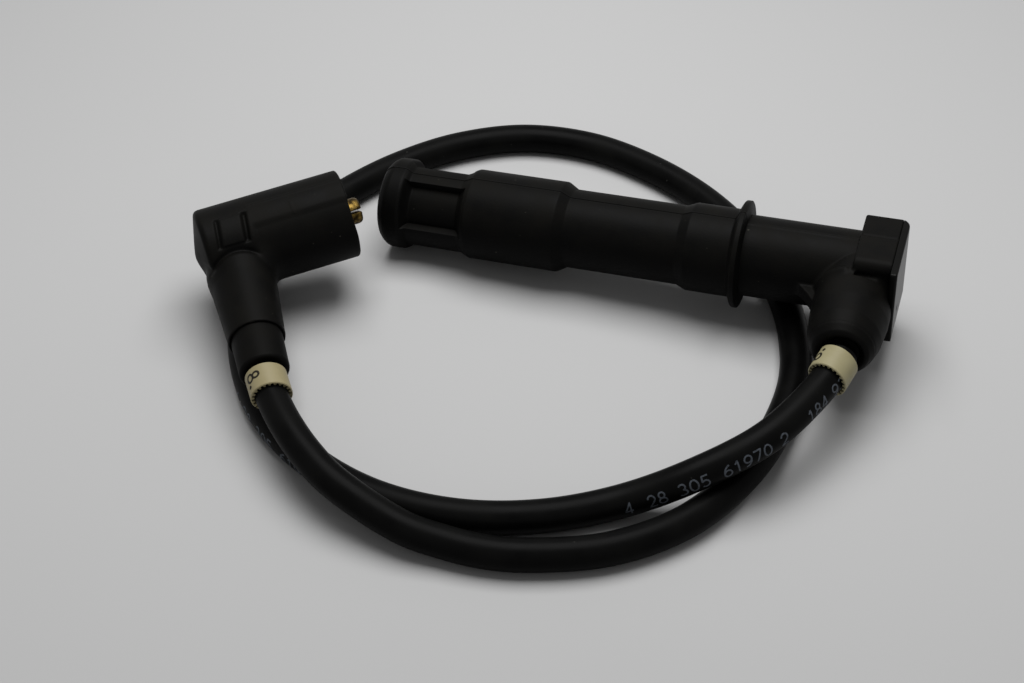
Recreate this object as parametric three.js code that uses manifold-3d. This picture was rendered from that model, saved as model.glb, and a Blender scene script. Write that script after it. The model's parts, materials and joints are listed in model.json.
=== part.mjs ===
// Spark plug wire: a long straight plug boot, a short angled coil boot and the 7 mm lead looped between them.
// Millimetres, +Z up, the table at Z = 0. The plug boot lies along +X, its mouth at the -X end.

import * as THREE from "three";
import { mergeVertices } from "three/addons/utils/BufferGeometryUtils.js";
import Module from "manifold-3d";

const wasm = await Module();
wasm.setup();

// Fits
const SEAT_GAP = 0.3; // between two pieces that touch
const FIT_GAP = 0.2; // between a piece and the bore around it
const ROUND = 48; // sides of a large turned surface
const ROUND_SMALL = 28; // sides of a small turned surface
const CUT_REACH = 30; // how far a cutting block runs past what it cuts

// Where the origin lies in the frame in which the poses below are written
const ORIGIN = [3.354, -0.869, 0.13];

// Plug boot: the local frame has X along the bore, from the mouth, Y level and Z up
const PLUG_MOUTH = [-38.8, 27.2, 10.48];
const PLUG_TILT_DEG = 3.5; // the head end lies higher than the mouth
const PLUG_RIM_R = 10.5;
const PLUG_TUBE_R = 9.0;
const PLUG_HEAD_TUBE_R = 9.15;
const PLUG_FLANGE_R = 12.1;
const PLUG_PROFILE = [
  [0, 8.9],
  [0.5, 9.6],
  [1.5, 10.3],
  [2.2, PLUG_RIM_R],
  [5.0, PLUG_RIM_R],
  [5.8, 10.1],
  [6.6, 9.4],
  [19.3, 9.4],
  [21.3, 10.4],
  [42.4, 10.4],
  [44.8, PLUG_TUBE_R],
  [70.8, PLUG_TUBE_R],
  [73.0, 9.95],
  [82.6, 9.95],
  [83.8, PLUG_FLANGE_R],
  [85.3, PLUG_FLANGE_R],
  [85.9, PLUG_HEAD_TUBE_R],
  [112.0, PLUG_HEAD_TUBE_R],
];
const WINDOW_T = [5.4, 8.0, 18.0, 20.5]; // ramp, floor, floor, ramp
const WINDOW_FLOOR_R = 7.4;
const WINDOW_ANGLES_DEG = [
  [1.5, 73],
  [107, 178.5],
];
const PLUG_LIP_R = 6.6;
const PLUG_BORE_R = 5.6;
const PLUG_BORE_END = 29.4;

// Head of the plug boot: a block over the elbow, the barrel for the lead and the cover plate
const BLOCK_T = [110.4, 117.4];
const BLOCK_Y = [-8.3, 7.3];
const BLOCK_Z = [-8.8, 10.7];
const BLOCK_CORNER_R = 1.6;
const BARREL_T = 111.8; // where the barrel's axis crosses the bore's
const BARREL_R = 8.4;
const BARREL_LENGTH = 27.8;
const BARREL_NOSE = [
  [17.0, BARREL_R],
  [22.3, 7.9],
  [25.6, 7.0],
  [27.2, 6.1],
  [BARREL_LENGTH, 5.3],
];
const BARREL_LIP_R = 4.7; // the bore's mouth flares, because the lead leaves at a slight angle
const BARREL_END_ROOM = 1.2;
const COVER_THICKNESS = 2.2;
const COVER_Y = [-12.5, 7.3];
const COVER_Z = [-8.8, 10.7];
const COVER_CORNER_R = 4.0;
const GUSSET_T = [93.5, 104.5];
const GUSSET_Y = [-19.5, -6.0];
const GUSSET_HALF_HEIGHT = 1.6;

// Inside the plug boot
const CORE_TUBE = { t0: PLUG_BORE_END + SEAT_GAP, t1: 104.0, outer: 6.2, inner: 3.6 };
const CUP = { t0: 25.4, t1: 35.4, outer: 3.3, inner: 2.5, base: 1.6, mouthInner: 3.0 };
const CLIP = { t: 29.0, wireR: 0.45, ringR: 3.95 };
const SPRING = { wireR: 0.38, coilR: 2.6, turns: 6 };
const RESISTOR = { t0: 49.2, t1: 73.0, r: 2.5 };
const RESISTOR_CAP = { r: 2.95, length: 4.0, base: 1.2 };
const ROD = { r: 1.5, t1: 107.8 };
const ELBOW = { t0: 108.1, t1: 114.9, r: 3.4 };
const ELBOW_CHAMBER = { t0: 104.0, t1: 115.5, r: 3.9 };

// Lead
const LEAD_R = 3.5;
const LEAD_SIDES = 12;
const LEAD_STEPS = 80;
const LEAD_BORE_R = LEAD_R + FIT_GAP;
const LEAD_ROUTE = [
  [-42.3, -38.6, 12.5],
  [-40.5, -41.4, 12.2],
  [-38.0, -44.5, 11.8],
  [-32.1, -50.7, 11.3],
  [-25.6, -55.9, 10.3],
  [-18.3, -60.1, 9.0],
  [-2.5, -64.3, 5.6],
  [5.8, -64.4, 4.3],
  [14.3, -64.0, 3.8],
  [22.6, -62.3, 3.7],
  [38.0, -55.6, 3.6],
  [50.5, -44.3, 3.6],
  [58.5, -29.5, 3.6],
  [62.7, -13.1, 3.6],
  [63.4, 3.7, 3.6],
  [59.5, 20.2, 3.6],
  [52.2, 35.4, 3.6],
  [42.0, 48.8, 3.6],
  [29.1, 59.8, 3.6],
  [14.2, 67.5, 3.6],
  [-2.2, 71.6, 3.6],
  [-18.9, 69.8, 3.6],
  [-33.6, 61.6, 3.6],
  [-45.2, 49.4, 3.6],
  [-54.0, 35.0, 3.6],
  [-60.3, 19.3, 3.6],
  [-62.2, 2.5, 3.6],
  [-58.9, -14.0, 3.6],
  [-51.8, -29.3, 3.6],
  [-41.1, -42.4, 3.6],
  [-27.0, -51.6, 3.6],
  [-11.0, -56.6, 3.6],
  [5.9, -56.5, 3.6],
  [22.1, -51.7, 3.7],
  [36.8, -43.4, 4.3],
  [50.9, -36.0, 9.7],
  [62.7, -25.0, 13.4],
  [70.3, -10.2, 15.9],
  [72.2, -4.1, 16.7],
  [72.8, -0.9, 17.1],
];

// Marker rings, one at each end of the lead
const RING_R = 4.45;
const RING_VALLEY_R = 4.0;
const RING_TIP_R = LEAD_R + FIT_GAP;
const RING_TEETH = 22;
const RING_LENGTH = 6.0;
const RING_OFFSET_COIL = 0.5; // from the sleeve's end
const RING_OFFSET_PLUG = 1.3; // from the nose, past which the lead leaves at a slight angle

// Coil boot: the local frame has X from the mouth into the boot, Y level toward the outlet and Z up
const COIL_MOUTH = [-42.2, 9.2, 19.7];
const COIL_HEADING_DEG = 37.34; // from the head out of the mouth, anticlockwise from +X
const COIL_TILT_DEG = 5.5; // the mouth lies higher than the head
const COIL_R = 10.1;
const COIL_LENGTH = 34.2;
const COIL_EDGE = 0.6;
const COIL_BORE_R = 8.0;
const COIL_BORE_DEPTH = 15.0;
const COIL_POCKET_R = 3.9;
const COIL_POCKET_END = 30.6;
const STRAP_GROOVES = [
  { t0: 22.0, t1: 23.2, depth: 1.5, from: 38, to: 150 },
  { t0: 28.3, t1: 29.0, depth: 0.8, from: 38, to: 150 },
];
const OUTLET_AT = [26.6, 0, -1.4]; // where the outlet's axis leaves the boot's
const OUTLET_DIR = [0.0791, 0.9937, -0.0788];
const OUTLET_ROOT_R = 7.3;
const OUTLET_END_R = 6.2;
const OUTLET_LENGTH = 28.2;
const SLEEVE_END_R = 5.4;
const SLEEVE_ROOT_R = 5.6;
const SLEEVE_END = 37.8;
const SLEEVE_SEAT = 6.5; // how far the neck sleeve runs into the outlet
const TERMINAL = { r: 3.0, t0: -2.6, t1: 12.5, slot: 0.7, slotEnd: 7.5, tipR: 2.3 };
const TERMINAL_SHANK = { r: 2.1, t1: 22.4 };
const COLLAR = { t0: 15.3, t1: 21.0, r: 3.7 };
const COIL_ELBOW = { t0: 22.7, t1: 30.2, r: 3.4 };

// Colours by finish
const FINISHES = {
  rubber: { color: 0x1c1c1d, roughness: 0.62, metalness: 0 },
  jacket: { color: 0x1f1f21, roughness: 0.48, metalness: 0 },
  cover: { color: 0x2a2a2b, roughness: 0.42, metalness: 0 },
  cream: { color: 0xe9e4cf, roughness: 0.5, metalness: 0 },
  nylon: { color: 0xb9b4a6, roughness: 0.5, metalness: 0 },
  brass: { color: 0xc9a24a, roughness: 0.32, metalness: 1 },
  steel: { color: 0x9a9c9e, roughness: 0.35, metalness: 1 },
  ceramic: { color: 0xd8d2c2, roughness: 0.6, metalness: 0 },
};

const X = new THREE.Vector3(1, 0, 0);
const Y = new THREE.Vector3(0, 1, 0);
const Z = new THREE.Vector3(0, 0, 1);
const rad = THREE.MathUtils.degToRad;

// A closed geometry as a solid, its faces turned outward.
function solid(geometry) {
  const bare = geometry.clone();
  bare.deleteAttribute("normal");
  bare.deleteAttribute("uv");
  const merged = mergeVertices(bare, 1e-4);
  const index = merged.index.array;
  const faces = [];
  for (let i = 0; i < index.length; i += 3) {
    const [a, b, c] = [index[i], index[i + 1], index[i + 2]];
    if (a !== b && b !== c && c !== a) faces.push([a, b, c]);
  }
  const build = (list) =>
    new wasm.Manifold(
      new wasm.Mesh({
        numProp: 3,
        vertProperties: new Float32Array(merged.attributes.position.array),
        triVerts: new Uint32Array(list.flat()),
      }),
    );
  const made = build(faces);
  return made.volume() < 0 ? build(faces.map(([a, b, c]) => [a, c, b])) : made;
}

// A solid turned about X from points [x, r]; the profile is closed down to the axis.
function turned(points, sides = ROUND) {
  const closed = [[points[0][0], 0], ...points, [points[points.length - 1][0], 0]];
  const profile = closed.map(([x, r]) => new THREE.Vector2(r, x));
  const lathe = new THREE.LatheGeometry(profile, sides);
  lathe.rotateZ(-Math.PI / 2);
  return solid(lathe);
}

function cylinderX(x0, x1, r, sides = ROUND_SMALL) {
  return turned(
    [
      [x0, r],
      [x1, r],
    ],
    sides,
  );
}

// A prism along X whose section is a shape in the YZ plane.
function prismX(shape, x0, x1, curveSegments = 6) {
  const g = new THREE.ExtrudeGeometry(shape, {
    depth: x1 - x0,
    bevelEnabled: false,
    curveSegments,
  });
  g.applyMatrix4(new THREE.Matrix4().makeBasis(Y, Z, X));
  g.translate(x0, 0, 0);
  return solid(g);
}

function roundedRect(y, z, r) {
  const s = new THREE.Shape();
  s.moveTo(y[0] + r, z[0]);
  s.lineTo(y[1] - r, z[0]);
  s.absarc(y[1] - r, z[0] + r, r, -Math.PI / 2, 0, false);
  s.lineTo(y[1], z[1] - r);
  s.absarc(y[1] - r, z[1] - r, r, 0, Math.PI / 2, false);
  s.lineTo(y[0] + r, z[1]);
  s.absarc(y[0] + r, z[1] - r, r, Math.PI / 2, Math.PI, false);
  s.lineTo(y[0], z[0] + r);
  s.absarc(y[0] + r, z[0] + r, r, Math.PI, 1.5 * Math.PI, false);
  return s;
}

function box(x, y, z) {
  const g = new THREE.BoxGeometry(x[1] - x[0], y[1] - y[0], z[1] - z[0]);
  g.translate((x[0] + x[1]) / 2, (y[0] + y[1]) / 2, (z[0] + z[1]) / 2);
  return solid(g);
}

// A wedge along X between two angles, measured from -Y upward.
function wedge(fromDeg, toDeg, x0, x1, reach) {
  const s = new THREE.Shape();
  s.moveTo(0, 0);
  const steps = 8;
  for (let i = 0; i <= steps; i++) {
    const a = rad(fromDeg + ((toDeg - fromDeg) * i) / steps);
    s.lineTo(-reach * Math.cos(a), reach * Math.sin(a));
  }
  s.closePath();
  return prismX(s, x0, x1);
}

// The part of a turned ring between two angles: what a recess takes away.
function ringSector(profile, fromDeg, toDeg) {
  const xs = profile.map(([x]) => x);
  const reach = Math.max(...profile.map(([, r]) => r)) + 2;
  const low = Math.min(...xs) - 1;
  const high = Math.max(...xs) + 1;
  return wedge(fromDeg, toDeg, low, high, reach).intersect(closedRing(profile));
}

function closedRing(profile, sides = ROUND) {
  const points = [...profile, profile[0]].map(([x, r]) => new THREE.Vector2(r, x));
  const g = new THREE.LatheGeometry(points, sides);
  g.rotateZ(-Math.PI / 2);
  return solid(g);
}

// A solid built along +X, laid along a direction from a point.
function alongDir(body, origin, direction) {
  const d = new THREE.Vector3(...direction).normalize();
  const turn = new THREE.Quaternion().setFromUnitVectors(X, d);
  const at = new THREE.Vector3(...origin);
  const m = new THREE.Matrix4().compose(at, turn, new THREE.Vector3(1, 1, 1));
  return body.transform(m.toArray());
}

function mesh(name, body, finish) {
  const m = body.getMesh();
  const count = m.numVert;
  const position = new Float32Array(count * 3);
  for (let i = 0; i < count; i++) {
    for (let k = 0; k < 3; k++) position[3 * i + k] = m.vertProperties[m.numProp * i + k];
  }
  const g = new THREE.BufferGeometry();
  g.setAttribute("position", new THREE.BufferAttribute(position, 3));
  g.setIndex(new THREE.BufferAttribute(new Uint32Array(m.triVerts), 1));
  g.computeVertexNormals();
  const made = new THREE.Mesh(g, new THREE.MeshStandardMaterial(FINISHES[finish]));
  made.name = name;
  return made;
}

// Plug boot

function barrelOuter() {
  return alongDir(
    turned([
      [-BLOCK_Y[1] + 1.5, BARREL_R],
      ...BARREL_NOSE,
    ]),
    [BARREL_T, 0, 0],
    [0, -1, 0],
  );
}

function coverEnvelope(grow) {
  const y = [COVER_Y[0] - grow, COVER_Y[1] + CUT_REACH];
  const z = [COVER_Z[0] - CUT_REACH, COVER_Z[1] + CUT_REACH];
  return box([BLOCK_T[1], BLOCK_T[1] + CUT_REACH], y, z);
}

function headBlock() {
  return prismX(roundedRect(BLOCK_Y, BLOCK_Z, BLOCK_CORNER_R), BLOCK_T[0], BLOCK_T[1]);
}

function gusset() {
  const s = new THREE.Shape();
  s.moveTo(GUSSET_T[0], GUSSET_Y[1]);
  s.lineTo(GUSSET_T[1], GUSSET_Y[1]);
  s.lineTo(GUSSET_T[1], GUSSET_Y[0]);
  s.quadraticCurveTo(GUSSET_T[1] - 2.5, GUSSET_Y[1] - 3.5, GUSSET_T[0], GUSSET_Y[1]);
  const g = new THREE.ExtrudeGeometry(s, {
    depth: 2 * GUSSET_HALF_HEIGHT,
    bevelEnabled: false,
    curveSegments: 8,
  });
  g.translate(0, 0, -GUSSET_HALF_HEIGHT);
  return solid(g);
}

function plugBore() {
  const mouth = turned([
    [-1, PLUG_LIP_R + 1.0],
    [0, PLUG_LIP_R],
    [1.4, PLUG_BORE_R],
    [PLUG_BORE_END, PLUG_BORE_R],
  ]);
  const pocketR = CORE_TUBE.outer + FIT_GAP;
  const pocket = cylinderX(PLUG_BORE_END - 0.01, CORE_TUBE.t1 + SEAT_GAP, pocketR, ROUND);
  const chamber = cylinderX(ELBOW_CHAMBER.t0, ELBOW_CHAMBER.t1, ELBOW_CHAMBER.r);
  const lead = alongDir(
    turned(
      [
        [0, LEAD_BORE_R],
        [BARREL_LENGTH - BARREL_END_ROOM, LEAD_BORE_R],
        [BARREL_LENGTH, BARREL_LIP_R],
        [BARREL_LENGTH + 1, BARREL_LIP_R + 1],
      ],
      ROUND_SMALL,
    ),
    [BARREL_T, 0, 0],
    [0, -1, 0],
  );
  return mouth.add(pocket).add(chamber).add(lead);
}

function plugBoot() {
  let body = turned(PLUG_PROFILE).add(headBlock()).add(barrelOuter()).add(gusset());
  const floor = WINDOW_FLOOR_R;
  const windowProfile = [
    [WINDOW_T[0], PLUG_RIM_R + 1],
    [WINDOW_T[1], floor],
    [WINDOW_T[2], floor],
    [WINDOW_T[3], PLUG_RIM_R + 1],
  ];
  for (const [from, to] of WINDOW_ANGLES_DEG) {
    body = body.subtract(ringSector(windowProfile, from, to));
  }
  return body.subtract(coverEnvelope(SEAT_GAP)).subtract(plugBore());
}

function plugHeadCover() {
  const t0 = BLOCK_T[1] + SEAT_GAP;
  return prismX(roundedRect(COVER_Y, COVER_Z, COVER_CORNER_R), t0, t0 + COVER_THICKNESS, 8);
}

function plugCoreTube() {
  const c = CORE_TUBE;
  return cylinderX(c.t0, c.t1, c.outer, ROUND).subtract(cylinderX(c.t0 - 1, c.t1 + 1, c.inner));
}

function plugTerminalCup() {
  const c = CUP;
  const hollow = turned(
    [
      [c.t0 - 1, c.mouthInner],
      [c.t0 + 1.5, c.inner],
      [c.t1 - c.base, c.inner],
    ],
    ROUND_SMALL,
  );
  return cylinderX(c.t0, c.t1, c.outer).subtract(hollow);
}

// A round-wire ring with a gap, sprung around the cup.
function plugTerminalClip() {
  const points = [];
  for (let i = 0; i <= 24; i++) {
    const a = rad(20 + (320 * i) / 24);
    points.push(
      new THREE.Vector3(CLIP.t, CLIP.ringR * Math.cos(a), CLIP.ringR * Math.sin(a)),
    );
  }
  return wire(points, CLIP.wireR, 24);
}

function wire(points, r, steps, sides = 6) {
  const section = new THREE.Shape();
  for (let i = 0; i < sides; i++) {
    const a = (2 * Math.PI * i) / sides;
    if (i === 0) section.moveTo(r, 0);
    else section.lineTo(r * Math.cos(a), r * Math.sin(a));
  }
  section.closePath();
  const path = new THREE.CatmullRomCurve3(points);
  return solid(
    new THREE.ExtrudeGeometry(section, { steps, extrudePath: path, bevelEnabled: false }),
  );
}

// The spring fills the room between the cup's base and the lower cap of the resistor.
function plugSpring() {
  const points = [];
  const count = SPRING.turns * 12;
  const t0 = CUP.t1 + SEAT_GAP + SPRING.wireR;
  const t1 = RESISTOR.t0 - RESISTOR_CAP.base - 2 * SEAT_GAP - SPRING.wireR;
  for (let i = 0; i <= count; i++) {
    const a = (2 * Math.PI * i) / 12;
    const t = t0 + ((t1 - t0) * i) / count;
    points.push(
      new THREE.Vector3(t, SPRING.coilR * Math.cos(a), SPRING.coilR * Math.sin(a)),
    );
  }
  return wire(points, SPRING.wireR, count);
}

function plugResistor() {
  return cylinderX(RESISTOR.t0, RESISTOR.t1, RESISTOR.r);
}

// An end cap: a cup pressed over the resistor's end, open toward it.
function resistorCap(openAtX, sense) {
  const c = RESISTOR_CAP;
  const shell = alongDir(cylinderX(0, c.length, c.r), [openAtX, 0, 0], [sense, 0, 0]);
  const depth = c.length - c.base;
  const hollowR = RESISTOR.r + 0.15;
  return shell.subtract(
    alongDir(cylinderX(-1, depth, hollowR), [openAtX, 0, 0], [sense, 0, 0]),
  );
}

function capDepth() {
  return RESISTOR_CAP.length - RESISTOR_CAP.base - SEAT_GAP;
}

function plugRod() {
  const t0 = RESISTOR.t1 + SEAT_GAP + RESISTOR_CAP.base + SEAT_GAP;
  return cylinderX(t0, ROD.t1, ROD.r);
}

function elbow(spec) {
  return cylinderX(spec.t0, spec.t1, spec.r);
}

// The end of the lead inside the barrel, cut square against the elbow.
function plugLeadEnd() {
  const y0 = ELBOW.r + SEAT_GAP;
  return alongDir(
    cylinderX(y0, BARREL_LENGTH - BARREL_END_ROOM, LEAD_R),
    [BARREL_T, 0, 0],
    [0, -1, 0],
  );
}

// Coil boot

function outletOuter() {
  return alongDir(
    turned([
      [0, OUTLET_ROOT_R],
      [12, OUTLET_ROOT_R],
      [OUTLET_LENGTH - 0.5, OUTLET_END_R],
      [OUTLET_LENGTH, OUTLET_END_R - 0.35],
    ]),
    OUTLET_AT,
    OUTLET_DIR,
  );
}

function coilBoot() {
  const outer = turned([
    [0, COIL_R - COIL_EDGE],
    [COIL_EDGE, COIL_R],
    [COIL_LENGTH - 1.5, COIL_R],
    [COIL_LENGTH, COIL_R - 1.2],
  ]);
  let body = outer.add(outletOuter());
  for (const g of STRAP_GROOVES) {
    const groove = [
      [g.t0, COIL_R + 1],
      [g.t0, COIL_R - g.depth],
      [g.t1, COIL_R - g.depth],
      [g.t1, COIL_R + 1],
    ];
    body = body.subtract(ringSector(groove, g.from, g.to));
  }
  const bore = turned([
    [-1, COIL_BORE_R + 0.6],
    [0.8, COIL_BORE_R],
    [COIL_BORE_DEPTH, COIL_BORE_R],
  ]);
  const pocket = cylinderX(COIL_BORE_DEPTH - 0.5, COIL_POCKET_END, COIL_POCKET_R);
  const lead = alongDir(
    cylinderX(0, OUTLET_LENGTH + 1, LEAD_BORE_R),
    OUTLET_AT,
    OUTLET_DIR,
  );
  const seatR = SLEEVE_ROOT_R + FIT_GAP;
  const seat = alongDir(
    cylinderX(OUTLET_LENGTH - SLEEVE_SEAT - SEAT_GAP, OUTLET_LENGTH + 1, seatR, ROUND),
    OUTLET_AT,
    OUTLET_DIR,
  );
  return body.subtract(bore.add(pocket).add(lead).add(seat));
}

function coilNeckSleeve() {
  const outer = turned([
    [OUTLET_LENGTH - SLEEVE_SEAT, SLEEVE_ROOT_R],
    [OUTLET_LENGTH + 0.4, SLEEVE_ROOT_R],
    [SLEEVE_END - 0.5, SLEEVE_END_R],
    [SLEEVE_END, SLEEVE_END_R - 0.4],
  ]);
  const bore = cylinderX(0, SLEEVE_END + 1, LEAD_BORE_R);
  return alongDir(outer.subtract(bore), OUTLET_AT, OUTLET_DIR);
}

// A round contact, split across its end so that the halves spring together.
function coilTerminal() {
  const c = TERMINAL;
  const body = turned(
    [
      [c.t0, c.tipR],
      [c.t0 + 0.8, c.r],
      [c.t1, c.r],
      [c.t1, TERMINAL_SHANK.r],
      [TERMINAL_SHANK.t1, TERMINAL_SHANK.r],
    ],
    ROUND_SMALL,
  );
  return body.subtract(
    box([c.t0 - 1, c.slotEnd], [-c.r - 1, c.r + 1], [-c.slot / 2, c.slot / 2]),
  );
}

function coilCollar() {
  const c = COLLAR;
  return cylinderX(c.t0, c.t1, c.r).subtract(
    cylinderX(c.t0 - 1, c.t1 + 1, TERMINAL_SHANK.r + FIT_GAP),
  );
}

function coilLeadEnd() {
  const start = COIL_ELBOW.r + 1.2;
  return alongDir(
    cylinderX(start, SLEEVE_END - SEAT_GAP, LEAD_R),
    OUTLET_AT,
    OUTLET_DIR,
  );
}

// Lead and marker rings

function leadCurve() {
  const points = LEAD_ROUTE.map((p) => new THREE.Vector3(...p));
  return new THREE.CatmullRomCurve3(points, false, "centripetal");
}

function lead() {
  const section = new THREE.Shape();
  for (let i = 0; i < LEAD_SIDES; i++) {
    const a = (2 * Math.PI * i) / LEAD_SIDES;
    const [x, y] = [LEAD_R * Math.cos(a), LEAD_R * Math.sin(a)];
    if (i === 0) section.moveTo(x, y);
    else section.lineTo(x, y);
  }
  section.closePath();
  return solid(
    new THREE.ExtrudeGeometry(section, {
      steps: LEAD_STEPS,
      extrudePath: leadCurve(),
      bevelEnabled: false,
    }),
  );
}

// A plain ring with small teeth inside that grip the jacket.
// start and next are the lead's first two stations at this end.
function markerRing(start, next, offset) {
  const s = new THREE.Shape();
  s.absarc(0, 0, RING_R, 0, 2 * Math.PI, false);
  const hole = new THREE.Path();
  for (let i = 0; i < 2 * RING_TEETH; i++) {
    const a = (Math.PI * i) / RING_TEETH;
    const r = i % 2 ? RING_TIP_R : RING_VALLEY_R;
    if (i === 0) hole.moveTo(r, 0);
    else hole.lineTo(r * Math.cos(a), r * Math.sin(a));
  }
  hole.closePath();
  s.holes.push(hole);
  const body = prismX(s, offset, offset + RING_LENGTH, 22);
  return alongDir(body, start.toArray(), next.clone().sub(start).toArray());
}

function placed(parts, matrix) {
  const group = new THREE.Group();
  for (const p of parts) group.add(p);
  group.applyMatrix4(matrix);
  return group;
}

const plugFrame = new THREE.Matrix4()
  .makeTranslation(...PLUG_MOUTH)
  .multiply(new THREE.Matrix4().makeRotationY(-rad(PLUG_TILT_DEG)));
const coilFrame = new THREE.Matrix4()
  .makeTranslation(...COIL_MOUTH)
  .multiply(new THREE.Matrix4().makeRotationZ(rad(COIL_HEADING_DEG + 180)))
  .multiply(new THREE.Matrix4().makeRotationY(rad(COIL_TILT_DEG)));

const capHollow = capDepth();
const plug = placed(
  [
    mesh("plug_boot", plugBoot(), "rubber"),
    mesh("plug_head_cover", plugHeadCover(), "cover"),
    mesh("plug_core_tube", plugCoreTube(), "nylon"),
    mesh("plug_terminal_cup", plugTerminalCup(), "brass"),
    mesh("plug_terminal_clip", plugTerminalClip(), "steel"),
    mesh("plug_spring", plugSpring(), "steel"),
    mesh("plug_resistor", plugResistor(), "ceramic"),
    mesh("plug_resistor_cap_lower", resistorCap(RESISTOR.t0 + capHollow, -1), "brass"),
    mesh("plug_resistor_cap_upper", resistorCap(RESISTOR.t1 - capHollow, 1), "brass"),
    mesh("plug_contact_rod", plugRod(), "brass"),
    mesh("plug_elbow_terminal", elbow(ELBOW), "brass"),
    mesh("plug_lead_end", plugLeadEnd(), "jacket"),
  ],
  plugFrame,
);
const coil = placed(
  [
    mesh("coil_boot", coilBoot(), "rubber"),
    mesh("coil_neck_sleeve", coilNeckSleeve(), "rubber"),
    mesh("coil_terminal", coilTerminal(), "brass"),
    mesh("coil_terminal_collar", coilCollar(), "nylon"),
    mesh("coil_elbow_terminal", elbow(COIL_ELBOW), "brass"),
    mesh("coil_lead_end", coilLeadEnd(), "jacket"),
  ],
  coilFrame,
);

const stations = leadCurve().getSpacedPoints(LEAD_STEPS);
const ringAtCoil = markerRing(stations[0], stations[1], RING_OFFSET_COIL);
const ringAtPlug = markerRing(
  stations[LEAD_STEPS],
  stations[LEAD_STEPS - 1],
  RING_OFFSET_PLUG,
);
const sparkPlugWire = new THREE.Group();
sparkPlugWire.name = "spark_plug_wire";
sparkPlugWire.add(
  plug,
  coil,
  mesh("lead_cable", lead(), "jacket"),
  mesh("marker_ring_coil", ringAtCoil, "cream"),
  mesh("marker_ring_plug", ringAtPlug, "cream"),
);
sparkPlugWire.position.set(-ORIGIN[0], -ORIGIN[1], -ORIGIN[2]);

export default sparkPlugWire;
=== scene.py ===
"""Spark plug wire, dressed: the 7 mm lead in its loose loop, the long plug boot, the angled coil boot,
their terminals and the two toothed marker rings.

Sizes are millimetres in each sub-assembly's own frame, and metres once a mesh is made.
"""

import json
import logging
import math
from dataclasses import dataclass, field
from enum import Enum
from typing import Callable

import bmesh
import bpy
import numpy as np
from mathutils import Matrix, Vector


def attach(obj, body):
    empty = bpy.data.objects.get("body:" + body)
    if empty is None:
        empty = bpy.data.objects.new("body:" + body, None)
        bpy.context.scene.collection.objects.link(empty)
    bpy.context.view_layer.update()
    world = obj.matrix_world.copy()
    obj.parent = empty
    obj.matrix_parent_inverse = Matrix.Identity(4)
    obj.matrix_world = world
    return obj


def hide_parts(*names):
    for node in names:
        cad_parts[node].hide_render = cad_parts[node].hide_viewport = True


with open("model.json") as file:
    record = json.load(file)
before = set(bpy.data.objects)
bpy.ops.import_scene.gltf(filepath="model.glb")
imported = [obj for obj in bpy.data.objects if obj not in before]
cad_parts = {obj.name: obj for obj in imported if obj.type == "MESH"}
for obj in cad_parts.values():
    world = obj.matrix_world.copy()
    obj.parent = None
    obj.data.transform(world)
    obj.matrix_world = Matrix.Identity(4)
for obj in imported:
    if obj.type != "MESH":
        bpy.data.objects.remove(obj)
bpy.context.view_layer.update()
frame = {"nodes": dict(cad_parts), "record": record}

MM = 0.001
BODY = "root"
log = logging.getLogger("spark_plug_wire")

# Short names for the types that the hints use most
Tree = bpy.types.NodeTree
Node = bpy.types.Node
Socket = bpy.types.NodeSocket
Piece = bpy.types.Object
Surface = Callable[[np.ndarray, np.ndarray, float], np.ndarray]


class Slot(Enum):
    """The record's material slots."""

    RUBBER = "rubber"
    JACKET = "jacket"
    COVER = "cover"
    CREAM = "cream"
    NYLON = "nylon"
    BRASS = "brass"
    STEEL = "steel"
    CERAMIC = "ceramic"


@dataclass(frozen=True)
class LocalFrame:
    """A sub-assembly's own frame: its origin in the row frame, in millimetres, and how it lies."""

    origin: tuple[float, float, float]
    heading_deg: float
    rise_deg: float

    def axes(self) -> np.ndarray:
        """The frame's X, Y and Z as the rows of a matrix; Y is always level."""
        heading, rise = math.radians(self.heading_deg), math.radians(self.rise_deg)
        x = np.array((math.cos(rise) * math.cos(heading), math.cos(rise) * math.sin(heading), math.sin(rise)))
        y = np.array((-math.sin(heading), math.cos(heading), 0.0))
        return np.array((x, y, np.cross(x, y)))

    def place(self, points: np.ndarray) -> np.ndarray:
        """Moves points out of the frame.

        Args:
            points: places in this frame, in millimetres, on the last axis.

        Returns:
            The same places in the row frame, in metres.
        """
        return (np.asarray(self.origin) + points @ self.axes()) * MM


PLUG_FRAME = LocalFrame(origin=(-42.154, 28.069, 10.35), heading_deg=0.0, rise_deg=3.5)
COIL_FRAME = LocalFrame(origin=(-45.554, 10.069, 19.57), heading_deg=217.34, rise_deg=-5.5)


# Meshes


def mesh_object(name: str, points: np.ndarray, faces: list, crease_deg: float = 40.0) -> Piece:
    """Makes a smooth-shaded mesh object whose faces point outward.

    Args:
        name: the piece's name.
        points: the vertices, in metres in the row frame.
        faces: vertex numbers of each face.
        crease_deg: edges that bend more than this stay sharp.

    Returns:
        The new object.
    """
    mesh = bpy.data.meshes.new(name)
    mesh.from_pydata(points.reshape(-1, 3).tolist(), [], faces)
    work = bmesh.new()
    work.from_mesh(mesh)
    bmesh.ops.recalc_face_normals(work, faces=work.faces)
    work.to_mesh(mesh)
    work.free()
    mesh.shade_smooth()
    mesh.set_sharp_from_angle(angle=math.radians(crease_deg))
    made = bpy.data.objects.new(name, mesh)
    bpy.context.scene.collection.objects.link(made)
    return made


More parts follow.
